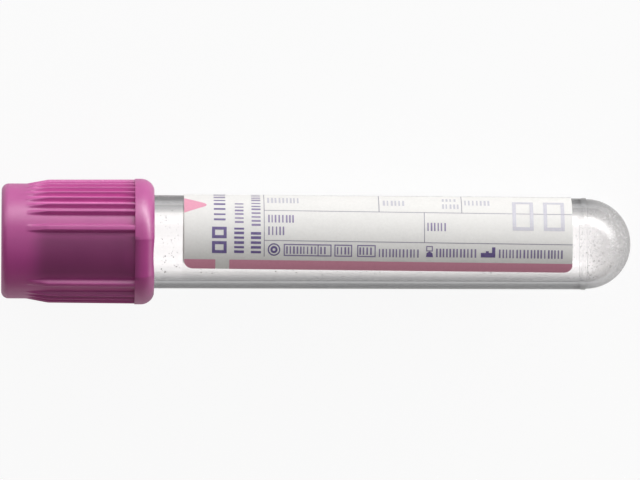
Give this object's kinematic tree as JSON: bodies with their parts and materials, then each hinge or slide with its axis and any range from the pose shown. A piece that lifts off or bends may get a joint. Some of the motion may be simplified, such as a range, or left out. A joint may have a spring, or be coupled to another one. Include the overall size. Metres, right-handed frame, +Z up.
{
  "type": "blood collection tube",
  "caption": "Evacuated blood collection tube lying on its side: clear round-bottomed tube, ribbed push-on safety closure with a rubber stopper, and a wrapped paper label.",
  "frame": {"origin": "on the surface the part lies on, under the middle of its bounding box", "axes": "+X along the tube towards its round bottom, +Z up; the tube lies on one of the two flats of its closure's collar and on its far end, with the closure end about 1.7 degrees higher"},
  "size_m": [0.0874, 0.0174, 0.0168],
  "materials": {
    "tube": "clear, polished",
    "label": "smooth white coated paper",
    "shield": "satin purple plastic",
    "stopper": "dull purple rubber"
  },
  "bodies": {
    "tube_body": {"tube": "tube", "label": "label"},
    "closure": {"shield": "shield", "stopper": "stopper"}
  },
  "joints": [
    {"name": "closure_pull", "type": "slide", "parent": "tube_body", "child": "closure", "axis": [-0.9995, 0, 0.0304], "range_m": [0, 0.025]}
  ]
}
